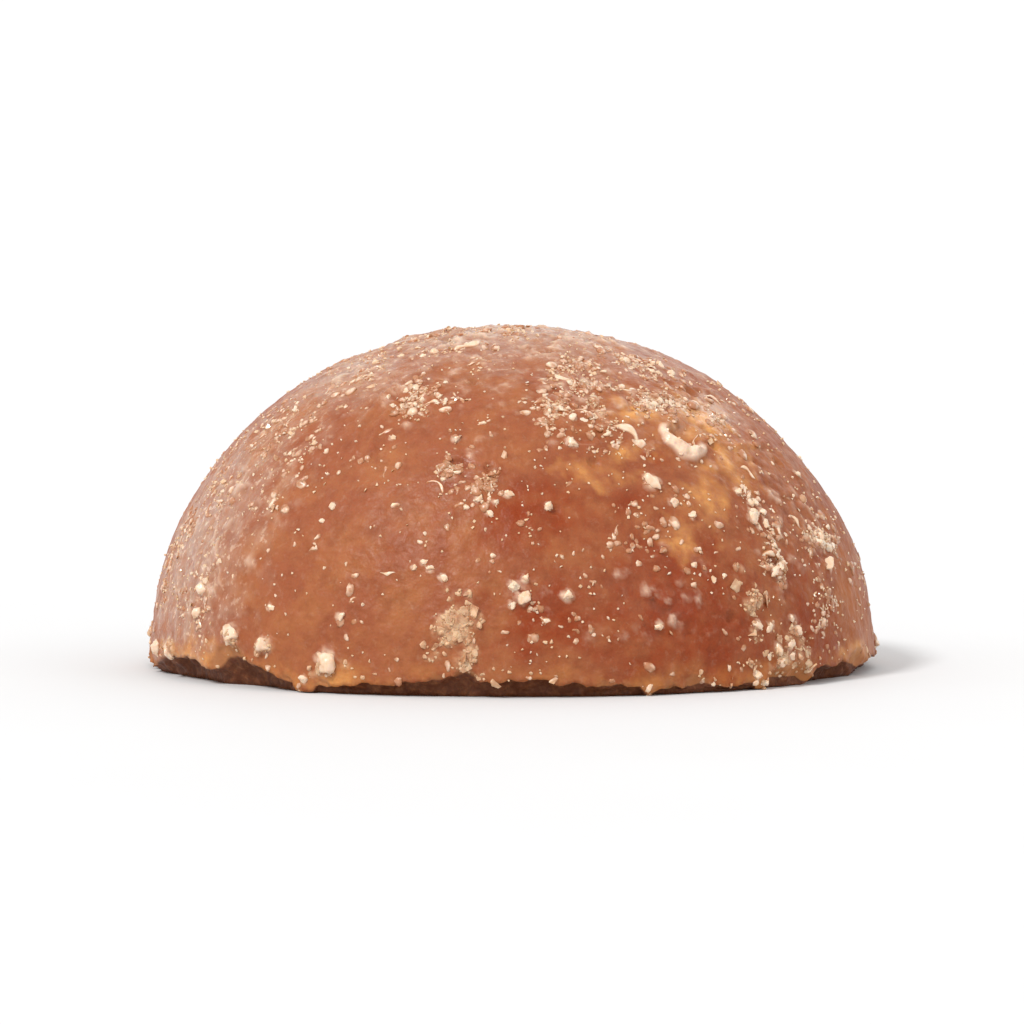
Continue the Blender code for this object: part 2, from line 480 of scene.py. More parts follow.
def pit_relief(points, pits):
    """Round hollows with a faintly raised rim."""
    height = np.zeros(len(points))
    for azimuth, polar, radius, depth in pits:
        share = np.linalg.norm(points - place(azimuth, polar), axis=1) / radius
        height += 0.2 * depth * smooth_bump(share - 1.25, 0.5) - depth * np.sqrt(np.clip(1 - share ** 2, 0, 1))
    return height


def random_pits(rng):
    pits = []
    for radius in rng.lognormal(math.log(0.55 * MM), 0.32, RANDOM_PITS):
        polar = math.degrees(math.acos(rng.uniform(0.1, 0.97)))
        pits.append((rng.uniform(-180, 180), polar, radius, radius * rng.uniform(0.35, 0.7)))
    return pits


def blister_relief(points):
    """Hollows with a lip round their lower side, thicker to the right, and how much of the lip is at each point."""
    height = np.zeros(len(points))
    lips = np.zeros(len(points))
    wander = 0.16 * fuzz(points, 2.4 * MM, 62, 2)
    for azimuth, polar, half_width, half_height, tilt, lip, hollow in BLISTERS:
        share = oval_distance(points, (azimuth, polar, half_width, half_height, tilt)) + wander
        middle, across, down, out = local_axes(azimuth, polar, tilt)
        away = points - middle
        rightward = np.clip(away @ across / half_width, -1, 1)
        lower = np.clip(0.40 + away @ down / half_height - 0.3 * np.maximum(rightward, 0) + wander, 0, 1)
        rim = smooth_bump(share - 1.0, 0.47 + 0.08 * rightward) * lower
        height += lip * rim - hollow * np.clip(1 - (share / 0.8) ** 2, 0, 1)
        lips = np.maximum(lips, rim * min(1, lip / MM))
    return height, lips


def lump_spots(rng):
    """Places and sizes of the pale lumps: the named ones, and those scattered over clusters."""
    azimuths, polars, named_sizes = np.array(PALE_LUMPS).T
    places, sizes = [place(azimuths, polars)], [named_sizes]
    for azimuth, polar, reach, count, size in LUMP_CLUSTERS:
        middle, across, down, out = local_axes(azimuth, polar, 0)
        x, y = reach * rng.normal(0, 0.5, (2, count, 1))
        places.append(middle + x * across + y * down)
        sizes.append(size * rng.uniform(0.6, 1.3, count))
    return np.vstack(places), np.concatenate(sizes)


def halo_relief(points, spots):
    """The sugar banked up round each pale lump, and how much of it is at each point."""
    height = np.zeros(len(points))
    halo = np.zeros(len(points))
    wander = 0.9 * fuzz(points, 0.8 * MM, 63, 3)
    for where, size in zip(*spots):
        near = smooth_bump(np.linalg.norm(points - where, axis=1), HALO_REACH * size)
        height = np.maximum(height, HALO_HEIGHT * size * near)
        halo = np.maximum(halo, near)
    return height * (1 + wander), np.clip(halo + wander * np.sqrt(halo), 0, 1)


def wrinkle_relief(points):
    """Low curved ridges where the sugar flowed as it set."""
    height = np.zeros(len(points))
    wander = 0.5 * MM * fuzz(points, 5 * MM, 61, 2)
    for azimuth, polar, radius, start, sweep, ridge in WRINKLES:
        middle, across, down, out = local_axes(azimuth, polar, 0)
        away = points - middle
        x, y = away @ across, away @ down
        along = (np.degrees(np.arctan2(y, x)) - start) % 360 / sweep
        ends = np.clip(6 * along * (1 - along), 0, 1)
        height += ridge * ends * smooth_bump(np.hypot(x, y) - radius + wander, 0.55 * MM) * (np.abs(away @ out) < 6 * MM)
    return height


def cell_height(points, where, sizes):
    """Rounded knobs from 0 to 1 high, worked out only where they are wanted: one to each cell of each size."""
    height = np.zeros(len(points))
    wanted = np.flatnonzero(where > 0)
    for size, share in sizes:
        nearest = [noise.voronoi(point)[0][0] for point in (points[wanted] / size).tolist()]
        height[wanted] += share * np.clip((0.62 - np.array(nearest)) / 0.42, 0, 1) ** 0.7
    return height


def chipped(points, chips):
    """Points pushed out of the chips' spheres onto their walls, and how far each was pushed."""
    pushed = points.copy()
    for azimuth, height, radius, depth in chips:
        direction = outward(np.radians(azimuth))
        middle = place(azimuth, 90) + direction * (radius - depth) + [0, 0, height]
        away = pushed - middle
        away[pushed[:, 2] <= 0, 2] = 0
        distance = np.maximum(np.linalg.norm(away, axis=1), 0.01 * MM)
        hit = distance < radius
        pushed[hit] = middle + away[hit] * (radius / distance[hit])[:, None]
    pushed[:, 2] = np.maximum(pushed[:, 2], 0)
    return pushed, np.linalg.norm(pushed - points, axis=1)


def small_chips(rng):
    """Random chips along the edge: many small, few large."""
    chips = []
    for size in rng.pareto(2.0, SMALL_CHIPS):
        radius = min(3.6, 0.9 + size) * MM
        chips.append((rng.uniform(-180, 180), rng.uniform(-0.8, 1.2) * MM, radius, radius * rng.uniform(0.15, 0.4)))
    return chips


def out_of_dome(points):
    """Unit vectors square to the dome."""
    out = points / np.array([WIDTH ** 2, DEPTH ** 2, 4 * HEIGHT ** 2])
    return out / np.linalg.norm(out, axis=1, keepdims=True)


def by_azimuth(values, around, azimuth):
    """Values given at the net's columns, read at other azimuths."""
    columns = np.append(around, around[0] + 2 * math.pi)
    turn = (azimuth - around[0]) % (2 * math.pi) + around[0]
    return np.interp(turn, columns, np.append(values, values[:1]))


class Net:
    """The skin's net: its points' zones and their places in them, and its faces."""

    def __init__(self):
        cap_share, cap_azimuth, cap_rim, cap_faces = square_net(CAP_RINGS)
        self.base_share, self.base_azimuth, base_rim, base_faces = square_net(CAP_RINGS // 2)
        self.around = np.unwrap(cap_azimuth[cap_rim])
        columns = len(self.around)
        rings = CAP_RINGS + SIDE_RINGS
        side_share = np.repeat(np.arange(CAP_RINGS + 1, rings + 1) / rings, columns)
        self.share = np.concatenate([cap_share * CAP_RINGS / rings, side_share])
        self.azimuth = np.concatenate([cap_azimuth, np.tile(self.around, SIDE_RINGS)])
        self.under = np.repeat(np.arange(1, BAND_RINGS + 1) / BAND_RINGS, columns)
        self.band_azimuth = np.tile(self.around, BAND_RINGS)
        ring_points = len(side_share) + len(self.under)
        self.faces = net_faces(cap_rim, cap_faces, base_rim, base_faces, len(cap_share), ring_points)


def skin_points(net, rng, spots):
    """The dome's points with all its relief, and the masks that its material reads."""
    dome = dome_points(net.share, net.azimuth, net.around)
    crust = patches(dome, CRUSTS, 1.3, 1.1, 11)
    knobbly = patches(dome, KNOBBLY, 0.9, 1.0, 12) * np.clip(0.85 + 1.1 * fuzz(dome, 4 * MM, 16, 2), 0, 1)
    frost_and_sheen = patches(dome, FROSTS_AND_SHEEN, 0.35, 0.9, 15)
    ridges = np.clip(1 - np.abs(fuzz(dome, 3.0 * MM, 17, 2)) / 0.15, 0, 1)
    ridges *= frost_and_sheen * np.clip(0.5 + 1.6 * fuzz(dome, 3 * MM, 18, 1), 0, 1)
    covered = np.maximum(crust, knobbly)
    knobs = cell_height(dome, covered, ((1.9 * MM, 0.6), (1.0 * MM, 0.4)))
    blisters, lips = blister_relief(dome)
    height = sum(fuzz(dome, size, 21 + step, octaves) * rise
                 for step, (size, rise, octaves) in enumerate(SKIN_WAVES))
    banked, halo = halo_relief(dome, spots)
    height += pit_relief(dome, NAMED_PITS + random_pits(rng)) + blisters + wrinkle_relief(dome) + banked
    height += (crust * (0.05 + 0.45 * knobs) + knobbly * (0.62 * knobs - 0.20) + 0.32 * ridges) * MM
    height *= np.clip((1 - net.share) / 0.02, 0.25, 1)
    masks = {
        "crust": crust,
        "knobbly": knobbly,
        "knobs": knobs,
        "ridges": ridges,
        "lips": lips,
        "halo": halo,
        "amber": patches(dome, AMBERS, 0.8, 1.3, 13),
        "deep_and_shade": patches(dome, DEEPS_AND_SHADE, 0.5, 0.9, 14),
        "ochre": patches(dome, OCHRES, 0.5, 0.9, 19),
        "frost_and_sheen": frost_and_sheen,
    }
    return dome + out_of_dome(dome) * height[:, None], masks


def band_points(net, dome):
    """The broken band under the edge: it runs in first, then down to the base, and is rough."""
    columns = len(net.around)
    edge = np.tile(dome[-columns:], (BAND_RINGS, 1))
    foot = base_edge(edge, net.band_azimuth)
    inward = 1 - (1 - net.under) ** 2
    band = edge + (foot - edge) * inward[:, None]
    band[:, 2] = edge[:, 2] * (1 - net.under ** 2)
    rough = fuzz(band, 2.2 * MM, 33, 3) * np.sin(math.pi * net.under)
    return band + (outward(net.band_azimuth) - [0, 0, 0.6]) * (0.45 * MM * rough)[:, None]


def base_points(net, dome):
    """The base: flat where it rests, near the edge, and within that slightly sunken and bubbly."""
    columns = len(net.around)
    foot = np.linalg.norm(base_edge(dome[-columns:], net.around), axis=1)
    reach = net.base_share * BASE_INSET * by_azimuth(foot, net.around, net.base_azimuth)
    base = outward(net.base_azimuth) * reach[:, None]
    bubbles = np.clip(fuzz(base, 2.6 * MM, 35, 3) - 0.18, 0, 1) * 1.6 * MM
    bubbles *= np.clip((0.97 - net.base_share) / 0.1, 0, 1)
    base[:, 2] = bubbles + 0.35 * MM * smooth_bump(net.base_share, 0.92)
    return base


def make_body(spots):
    """The skin as one closed mesh, its dome's points and outward directions, and their masks."""
    rng = np.random.default_rng(SEED)
    net = Net()
    dome, masks = skin_points(net, rng, spots)
    band = band_points(net, dome)
    points = np.vstack([dome, band, base_points(net, dome)])
    points, pushed = chipped(points, EDGE_SCOOPS + NAMED_CHIPS + small_chips(rng))
    broken = np.clip(pushed / (0.10 * MM), 0, 1)
    broken[len(dome):len(dome) + len(band)] = 1
    under = np.zeros(len(points))
    under[len(dome):] = 1
    facets = cell_height(points, broken * (points[:, 2] > 0), ((1.6 * MM, 0.55), (0.9 * MM, 0.45)))
    level = points * [1, 1, 0]
    away = level / np.maximum(np.linalg.norm(level, axis=1, keepdims=True), MM)
    points += (away + [0, 0, 0.3]) * (broken * (facets - 0.3) * 0.42 * MM)[:, None]
    points[:, 2] = np.maximum(points[:, 2], 0)
    points[:, :2] -= (points.min(axis=0) + points.max(axis=0))[:2] / 2

    mesh = bpy.data.meshes.new("lump_body")
    mesh.from_pydata(points.tolist(), [], net.faces)
    mesh.shade_smooth()
    below = np.zeros(len(points) - len(dome))
    for name, values in masks.items():
        add_mask(mesh, name, np.append(values, below))
    add_mask(mesh, "broken", broken)
    add_mask(mesh, "under", under)
    add_mask(mesh, "rim", np.clip(1 - (points[:, 2] - 0.6 * MM) / (3.2 * MM), 0, 1))
    mesh.materials.append(skin_material())
    body = bpy.data.objects.new("lump_body", mesh)
    bpy.context.scene.collection.objects.link(body)
    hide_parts("jaggery_lump")
    normals = np.empty(3 * len(points), np.float32)
    mesh.vertex_normals.foreach_get("vector", normals)
    masks["near_edge"] = np.clip((net.share - 0.965) / 0.03, 0, 1)
    return body, points[:len(dome)], normals.reshape(-1, 3)[:len(dome)], masks


def add_mask(mesh, name, values):
    mesh.attributes.new(name, "FLOAT", "POINT").data.foreach_set("value", values.astype(np.float32))


# ---------------------------------------------------------------- beads, curls, grains and flakes

BREAKS = 9  # flat sides of a broken lump


def shape_of(mesh):
    """(corners, triangles) of a bmesh, which is freed."""
    mesh.verts.index_update()
    corners = np.array([vertex.co for vertex in mesh.verts])
    triangles = np.array([[vertex.index for vertex in face.verts] for face in mesh.faces])
    mesh.free()
    return corners, triangles


def hull(points):
    """The convex shape round some points."""
    mesh = bmesh.new()
    for point in points:
        mesh.verts.new(point)
    bmesh.ops.convex_hull(mesh, input=mesh.verts)
    bmesh.ops.delete(mesh, geom=[vertex for vertex in mesh.verts if not vertex.link_faces], context="VERTS")
    bmesh.ops.triangulate(mesh, faces=mesh.faces)
    return shape_of(mesh)


def crystal(rng):
    """A blocky crystal with cut corners, about 1 across."""
    points = rng.uniform(-1, 1, (13, 3))
    points *= 0.5 / np.abs(points).max(axis=1, keepdims=True)
    return hull(points * rng.uniform(0.6, 1.15, 3))


def flake(rng):
    """A thin broken plate, about 1 across."""
    angle = np.sort(rng.uniform(0, 2 * math.pi, 11))
    reach = rng.uniform(0.28, 0.6, 11)
    thickness = rng.uniform(-0.13, 0.13, 11)
    return hull(np.stack([np.cos(angle) * reach, np.sin(angle) * reach * 0.8, thickness], axis=-1))


def rounded(rng, lumpy, narrowest, flatness):
    """A lumpy pebble, about 1 long."""
    mesh = bmesh.new()
    bmesh.ops.create_icosphere(mesh, subdivisions=2, radius=0.5)
    shift = Vector(rng.uniform(0, 50, 3))
    width = rng.uniform(narrowest, 1)
    for vertex in mesh.verts:
        vertex.co *= 1 + lumpy * noise.noise(vertex.co * 2.4 + shift)
        vertex.co.y *= width
        vertex.co.z *= flatness
    return shape_of(mesh)


def broken_lump(rng, narrowest, flatness, splits=2):
    """An angular lump with flat breaks and soft corners, about 1 long."""
    mesh = bmesh.new()
    bmesh.ops.create_icosphere(mesh, subdivisions=splits, radius=0.5)
    shift = Vector(rng.uniform(0, 50, 3))
    width = rng.uniform(narrowest, 1)
    for across in rng.normal(size=(BREAKS, 3)):
        normal = Vector(across).normalized()
        reach = rng.uniform(0.2, 0.4)
        for vertex in mesh.verts:
            vertex.co -= normal * max(0, vertex.co @ normal - reach)
    for vertex in mesh.verts:
        vertex.co *= 1.35 * (1 + 0.30 * noise.noise(vertex.co * 5 + shift))
        vertex.co.y *= width
        vertex.co.z *= flatness
    return shape_of(mesh)


def any_turns(rng, count):
    """Random rotation matrices, from random quaternions."""
    w, x, y, z = rng.normal(size=(4, count))
    length = np.sqrt(w * w + x * x + y * y + z * z)
    w, x, y, z = w / length, x / length, y / length, z / length
    rows = [
        [1 - 2 * (y * y + z * z), 2 * (x * y - z * w), 2 * (x * z + y * w)],
        [2 * (x * y + z * w), 1 - 2 * (x * x + z * z), 2 * (y * z - x * w)],
        [2 * (x * z - y * w), 2 * (y * z + x * w), 1 - 2 * (x * x + y * y)],
    ]
    return np.moveaxis(np.array(rows), 2, 0)


def standing_turns(normals, angles):
    """Rotation matrices that stand Z on each normal, with X turned from the level by an angle."""
    across = np.stack([-normals[:, 1], normals[:, 0], np.zeros(len(normals))], axis=-1) + [1e-6, 0, 0]
    across /= np.linalg.norm(across, axis=1, keepdims=True)
    up = np.cross(normals, across)
    cos, sin = np.cos(angles)[:, None], np.sin(angles)[:, None]
    return np.stack([across * cos + up * sin, up * cos - across * sin, normals], axis=-1)


def tipped(rng, normals, most):
    """Normals tipped at random."""
    moved = normals + rng.normal(0, most, normals.shape)
    return moved / np.linalg.norm(moved, axis=1, keepdims=True)


def new_piece(name, corners, tops, faces, material, smooth):
    """A piece whose mask "top" says how far up from the skin each corner is, from 0 to 1."""
    corners[:, 2] = np.maximum(corners[:, 2], 0)
    mesh = bpy.data.meshes.new(name)
    mesh.from_pydata(corners.tolist(), [], faces.tolist())
    if smooth:
        mesh.shade_smooth()
    add_mask(mesh, "top", tops)
    mesh.materials.append(material)
    piece = bpy.data.objects.new(name, mesh)
    bpy.context.scene.collection.objects.link(piece)
    return piece


def scattered(name, shapes, middles, normals, turns, sizes, material, smooth=False):
    """One piece of many small bodies, each one of the shapes."""
    corners, tops, triangles, start = [], [], [], 0
    for pick, (shape_corners, shape_triangles) in enumerate(shapes):
        mine = np.arange(pick, len(middles), len(shapes))
        placed = np.einsum("nij,kj->nki", turns[mine], shape_corners)
        tops.append(np.clip(0.5 + np.einsum("nki,ni->nk", placed, normals[mine]), 0, 1).ravel())
        corners.append((placed * sizes[mine, None, None] + middles[mine, None, :]).reshape(-1, 3))
        steps = start + np.arange(len(mine)) * len(shape_corners)
        triangles.append((shape_triangles[None] + steps[:, None, None]).reshape(-1, 3))
        start += len(mine) * len(shape_corners)
    return new_piece(name, np.vstack(corners), np.concatenate(tops), np.vstack(triangles), material, smooth)


def search_tree(points):
    tree = KDTree(len(points))
    for index, point in enumerate(points.tolist()):
        tree.insert(point, index)
    tree.balance()
    return tree


def settled(skin, corners, normals):
    """Ridges' cross-sections moved along their ridge's normal onto the skin beneath them."""
    for ridge, normal in zip(corners, normals):
        for section in ridge:
            ends = (section[0] + section[-1]) / 2
            nearest = np.array(skin.find(ends)[0])
            section += normal * ((nearest - ends) @ normal - 0.1 * MM)
    return corners


CURL_STEPS = 12
CURL_SECTION = np.array([(-1.1, -0.5), (-0.7, 0.45), (0, 1), (0.7, 0.45), (1.1, -0.5)])  # (across, up)


def curved_ridges(name, rng, skin, middles, turns, curls, material):
    """One piece of many uneven curved ridges on the skin, each (radius, sweep in degrees, width, height)."""
    radii, sweeps, widths, heights = curls.T
    along = np.linspace(0, 1, CURL_STEPS + 1)
    angle = (along - 0.5) * np.radians(sweeps)[:, None]
    skewed = along ** rng.uniform(0.6, 1.6, (len(curls), 1))
    phase = rng.uniform(0, 2 * math.pi, (2, len(curls), 1))
    taper = np.sin(math.pi * (0.08 + 0.84 * skewed)) ** 0.6 * (1 + 0.22 * np.sin(9 * along + phase[0]))
    wander = 1 + 0.10 * np.sin(5 * along + phase[1])
    across = (radii[:, None] * wander)[..., None] + 0.5 * (widths[:, None] * taper)[..., None] * CURL_SECTION[:, 0]
    up = (heights[:, None] * taper)[..., None] * CURL_SECTION[:, 1]
    x = across * np.cos(angle)[..., None] - radii[:, None, None]
    y = across * np.sin(angle)[..., None]
    local = np.stack([x, y, up], axis=-1).reshape(len(middles), -1, 3)
    corners = np.einsum("nij,nkj->nki", turns, local) + middles[:, None, :]
    corners = settled(skin, corners.reshape(len(middles), -1, len(CURL_SECTION), 3), turns[:, :, 2])
    tops = taper[..., None] * np.clip(CURL_SECTION[:, 1], 0, 1)
    sides = len(CURL_SECTION)
    index = np.arange((CURL_STEPS + 1) * sides).reshape(-1, sides)
    after = np.roll(index, -1, axis=1)
    quads = np.stack([index[:-1], after[:-1], after[1:], index[1:]], axis=-1).reshape(-1, 4)
    first, last = index[0], index[-1]
    caps = [[first[4], first[3], first[2], first[1]], [last[1], last[2], last[3], last[4]],
            [first[4], first[1], first[0], first[0]], [last[1], last[4], last[0], last[0]]]
    shape = np.vstack([quads, caps])
    faces = (shape[None] + (np.arange(len(middles)) * index.size)[:, None, None]).reshape(-1, 4)
    piece = new_piece(name, corners.reshape(-1, 3), tops.ravel(), faces, material, True)
    piece.data.validate()
    return piece


def grain_density(points):
    """How thickly grains lie at each point of the skin."""
    clumps = np.clip(0.35 + 1.5 * fuzz(points, 6 * MM, 51, 3), 0.02, 2)
    fine_clumps = np.clip(0.6 + 1.6 * fuzz(points, 2 * MM, 52, 2), 0.05, 3)
    density = 0.11 * np.ones(len(points))
    for azimuth, polar, reach, weight in GRAIN_CLUSTERS:
        density += weight * smooth_bump(np.linalg.norm(points - place(azimuth, polar), axis=1), reach)
    return density * clumps * fine_clumps


def sown(rng, points, density, count):
    """Points of the skin picked by density."""
    return rng.choice(len(points), count, replace=False, p=density / density.sum())


def lifted(rng, points, normals, picked, lift):
    """The picked points, shifted a little along the skin and lifted off it."""
    shift = rng.uniform(-0.17, 0.17, (len(picked), 3)) * MM
    shift -= normals[picked] * np.sum(shift * normals[picked], axis=1, keepdims=True)
    return points[picked] + shift + normals[picked] * lift[:, None]


def nearest_points(points, places):
    """The skin's point nearest to each place."""
    return np.array([np.argmin(np.linalg.norm(points - where, axis=1)) for where in places])


def make_skin_beads(rng, points, normals, density):
    sizes = np.clip(rng.lognormal(math.log(0.66 * MM), 0.36, 2400), 0.32 * MM, 1.6 * MM)
    picked = sown(rng, points, density, len(sizes))
    shapes = [rounded(rng, 0.6, 0.5, rng.uniform(0.34, 0.56)) for _ in range(14)]
    turns = standing_turns(normals[picked], rng.uniform(0, 2 * math.pi, len(sizes)))
    middles = lifted(rng, points, normals, picked, -0.08 * sizes)
    return scattered("skin_beads", shapes, middles, normals[picked], turns, sizes, bead_material(), smooth=True)


def make_skin_curls(rng, skin, points, normals, density):
    """Short low ridges, gently curved."""
    curls = rng.uniform((1.0 * MM, 25, 0.45 * MM, 0.07 * MM), (3.0 * MM, 70, 0.85 * MM, 0.16 * MM), (360, 4))
    picked = sown(rng, points, density ** 1.3, len(curls))
    turns = standing_turns(normals[picked], rng.uniform(0, 2 * math.pi, len(curls)))
    return curved_ridges("skin_curls", rng, skin, points[picked], turns, curls, bead_material())


def make_pale_curls(rng, skin, points, normals):
    azimuths, polars, radii, sweeps, turn, widths, heights = np.array(PALE_CURLS).T
    picked = nearest_points(points, place(azimuths, polars))
    turns = standing_turns(normals[picked], np.radians(turn))
    curls = np.stack([radii, sweeps, widths, heights], axis=-1)
    return curved_ridges("pale_curls", rng, skin, points[picked], turns, curls, pale_material())


def make_pale_lumps(rng, points, normals, spots):
    places, sizes = spots
    picked = nearest_points(points, places)
    shapes = [broken_lump(rng, 0.66, 0.72, 3) for _ in range(11)]
    turns = standing_turns(tipped(rng, normals[picked], 0.2), rng.uniform(0, 2 * math.pi, len(sizes)))
    middles = points[picked] - normals[picked] * (0.14 * sizes)[:, None]
    return scattered("pale_lumps", shapes, middles, normals[picked], turns, sizes, pale_material(), smooth=True)


def make_crystals(rng, points, normals, density):
    sizes = np.clip(rng.lognormal(math.log(0.34 * MM), 0.36, 850), 0.2 * MM, 0.8 * MM)
    picked = sown(rng, points, density, len(sizes))
    middles = lifted(rng, points, normals, picked, -0.1 * sizes)
    shapes = [crystal(rng) for _ in range(9)]
    return scattered("sugar_crystals", shapes, middles, normals[picked], any_turns(rng, len(sizes)), sizes,
                     crystal_material())


def make_dust(rng, points, normals, density):
    sizes = rng.uniform(0.16, 0.36, 2000) * MM
    picked = sown(rng, points, density + np.clip(0.4 * fuzz(points, 8 * MM, 53, 2) + 0.08, 0.01, 1), len(sizes))
    middles = lifted(rng, points, normals, picked, 0.1 * sizes)
    shapes = [crystal(rng) for _ in range(6)]
    return scattered("sugar_dust", shapes, middles, normals[picked], any_turns(rng, len(sizes)), sizes,
                     crystal_material())


def make_flakes(rng, points, normals, crust, near_edge):
    sizes = np.clip(rng.lognormal(math.log(1.0 * MM), 0.36, 300), 0.5 * MM, 2.0 * MM)
    picked = sown(rng, points, crust ** 1.5 + 0.008 * near_edge + 0.0004, len(sizes))
    turns = standing_turns(tipped(rng, normals[picked], 0.3), rng.uniform(0, 2 * math.pi, len(sizes)))
    middles = lifted(rng, points, normals, picked, -0.04 * sizes)
    shapes = [flake(rng) for _ in range(12)]
    return scattered("crust_flakes", shapes, middles, normals[picked], turns, sizes, crumb_material())


def make_crumbs(rng, points, normals, crust, near_edge):
    sizes = np.clip(rng.lognormal(math.log(0.40 * MM), 0.40, 800), 0.20 * MM, 1.2 * MM)
    picked = sown(rng, points, crust + 0.02 * near_edge + 0.0006, len(sizes))
    middles = lifted(rng, points, normals, picked, -0.20 * sizes)
    shapes = [broken_lump(rng, 0.6, 0.8) for _ in range(12)]
    return scattered("crust_crumbs", shapes, middles, normals[picked], any_turns(rng, len(sizes)), sizes,
                     crumb_material(), smooth=True)


# ---------------------------------------------------------------- materials

SKIN = (0.292, 0.082, 0.031, 1)
# A deeper, more saturated skin colour; on the lower front and right it is also painted shade.
SKIN_DEEP_AND_SHADE = (0.240, 0.036, 0.006, 1)
# A darker skin tone: random mottling, and painted shade in the low gaps between the knobs.
SKIN_DARK_AND_GAP_SHADE = (0.180, 0.040, 0.013, 1)
SKIN_OCHRE = (0.370, 0.130, 0.044, 1)
SKIN_YELLOW = (0.410, 0.120, 0.024, 1)
# A pale sugar bloom, which also serves as a painted sheen where the light falls on the crown and left side.
FROST_AND_SHEEN = (0.600, 0.445, 0.300, 1)
AMBER = (0.640, 0.280, 0.070, 1)
BROKEN = (0.400, 0.160, 0.062, 1)
# Painted shade: a dark brown for the band under the edge and for the base, where the lump's shade falls.
UNDERSIDE_SHADE = (0.120, 0.036, 0.015, 1)
CRUST = (0.710, 0.455, 0.270, 1)
# A darker crust tone: the crumbs' random darker tint, and painted shade in the gaps between the crust's knobs.
CRUST_DARK_AND_GAP_SHADE = (0.400, 0.170, 0.075, 1)
CRYSTAL = (0.790, 0.620, 0.470, 1)
CRUMB = (0.680, 0.440, 0.262, 1)
PALE = (0.800, 0.585, 0.425, 1)


class Nodes:
    """Short calls that add nodes to a new material."""

    def __init__(self, name):
        self.material = bpy.data.materials.new(name)
        self.material.use_nodes = True
        self.tree = self.material.node_tree
        self.shader = self.tree.nodes["Principled BSDF"]
        self.place = self.add("ShaderNodeTexCoord").outputs["Object"]

    def add(self, kind, settings=(), inputs=()):
        node = self.tree.nodes.new(kind)
        for name, value in dict(settings).items():
            setattr(node, name, value)
        for name, value in dict(inputs).items():
            self.set(node.inputs[name], value)
        return node

    def set(self, socket, value):
        if isinstance(value, bpy.types.NodeSocket):
            self.tree.links.new(value, socket)
        else:
            socket.default_value = value

    def noise(self, size, detail=3.0, roughness=0.55):
        inputs = {"Vector": self.place, "Scale": 1 / size, "Detail": detail, "Roughness": roughness}
        return self.add("ShaderNodeTexNoise", (), inputs).outputs["Fac"]

    def cells(self, size, output="Distance"):
        return self.add("ShaderNodeTexVoronoi", (), {"Vector": self.place, "Scale": 1 / size}).outputs[output]

    def ramp(self, value, low, high, to_low=0.0, to_high=1.0):
        inputs = {"Value": value, "From Min": low, "From Max": high, "To Min": to_low, "To Max": to_high}
        return self.add("ShaderNodeMapRange", (), inputs).outputs["Result"]

    def times(self, a, b):
        return self.add("ShaderNodeMath", {"operation": "MULTIPLY"}, {0: a, 1: b}).outputs["Value"]

    def larger(self, a, b):
        return self.add("ShaderNodeMath", {"operation": "MAXIMUM"}, {0: a, 1: b}).outputs["Value"]

    def mix(self, share, a, b):
        node = self.add("ShaderNodeMix", {"data_type": "RGBA"})
        self.set(node.inputs["Factor"], share)
        self.set(node.inputs[6], a)
        self.set(node.inputs[7], b)
        return node.outputs[2]

    def mask(self, name):
        return self.add("ShaderNodeAttribute", {"attribute_name": name}).outputs["Fac"]

    def bump(self, height, distance, strength=1.0, under=None):
        node = self.add("ShaderNodeBump", (), {"Height": height, "Distance": distance, "Strength": strength})
        if under is not None:
            self.set(node.inputs["Normal"], under)
        return node.outputs["Normal"]

    def finish(self, **inputs):
        for name, value in inputs.items():
            self.set(self.shader.inputs[name.replace("_", " ")], value)
        return self.material


